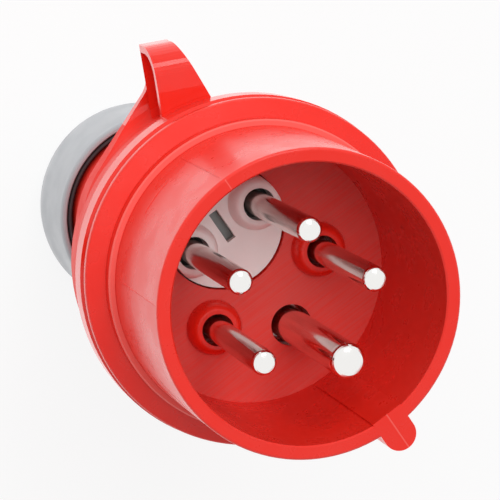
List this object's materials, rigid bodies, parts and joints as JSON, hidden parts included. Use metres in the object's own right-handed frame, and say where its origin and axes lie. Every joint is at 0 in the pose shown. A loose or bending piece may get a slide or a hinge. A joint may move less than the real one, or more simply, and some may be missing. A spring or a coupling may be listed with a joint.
{
  "type": "industrial pin and sleeve plug",
  "caption": "Round industrial plug with a red shroud round its pins, a turnable grey phase inverter, a stepped flange, a hooked fin and a domed cable gland nut.",
  "frame": {"origin": "centre of the cable opening in the gland nut's rear face", "axes": "+Z along the plug's axis to the pins and the shroud's rim, +Y to 12 o'clock, opposite the key rib and the earth pin"},
  "size_m": [0.0718, 0.0842, 0.149],
  "materials": {
    "red_moulding": "satin glass-filled moulding",
    "grey_moulding": "satin moulding",
    "rotor_moulding": "satin moulding",
    "nickel": "bright nickel plate",
    "zinc_steel": "zinc plated",
    "black_rubber": "matt"
  },
  "bodies": {
    "housing": {"front_housing": "red_moulding", "contact_base": "red_moulding", "rear_housing": "red_moulding", "housing_seal": "black_rubber", "line_pin_3": "nickel", "neutral_pin": "nickel", "earth_pin": "nickel", "terminal_screw_3": "zinc_steel", "terminal_screw_n": "zinc_steel", "terminal_screw_e": "zinc_steel", "contact_retainer": "grey_moulding", "retainer_screws": "zinc_steel", "neck_seal": "black_rubber"},
    "rotor_slide": {"thrust_washer": "zinc_steel", "inverter_spring": "zinc_steel"},
    "rotor": {"inverter_disc": "rotor_moulding", "line_pin_1": "nickel", "line_pin_2": "nickel", "terminal_screw_1": "zinc_steel", "terminal_screw_2": "zinc_steel"},
    "cable_clamp": {"clamp_cage": "grey_moulding", "gland_seal": "black_rubber"},
    "nut": {"gland_nut": "grey_moulding"}
  },
  "joints": [
    {"name": "rotor_push", "type": "slide", "parent": "housing", "child": "rotor_slide", "axis": [0, 0, -1], "range_m": [0, 0.0025], "stiffness_N_per_m": 1500, "springref_m": -0.004, "deforming": ["inverter_spring"]},
    {"name": "rotor_turn", "type": "hinge", "parent": "rotor_slide", "child": "rotor", "pos_m": [0, 0.01133, 0.1], "axis": [0, 0, 1], "range_deg": [0, 180]},
    {"name": "clamp_travel", "type": "slide", "parent": "housing", "child": "cable_clamp", "axis": [0, 0, -1], "range_m": [0, 0.00601]},
    {"name": "nut_turn", "type": "hinge", "parent": "cable_clamp", "child": "nut", "pos_m": [0, 0, 0.015], "axis": [0, 0, -1], "range_deg": [0, 720]}
  ],
  "couplings": [
    {"joint": "clamp_travel", "follows": "nut_turn", "m_per_rad": 0.00047746}
  ]
}
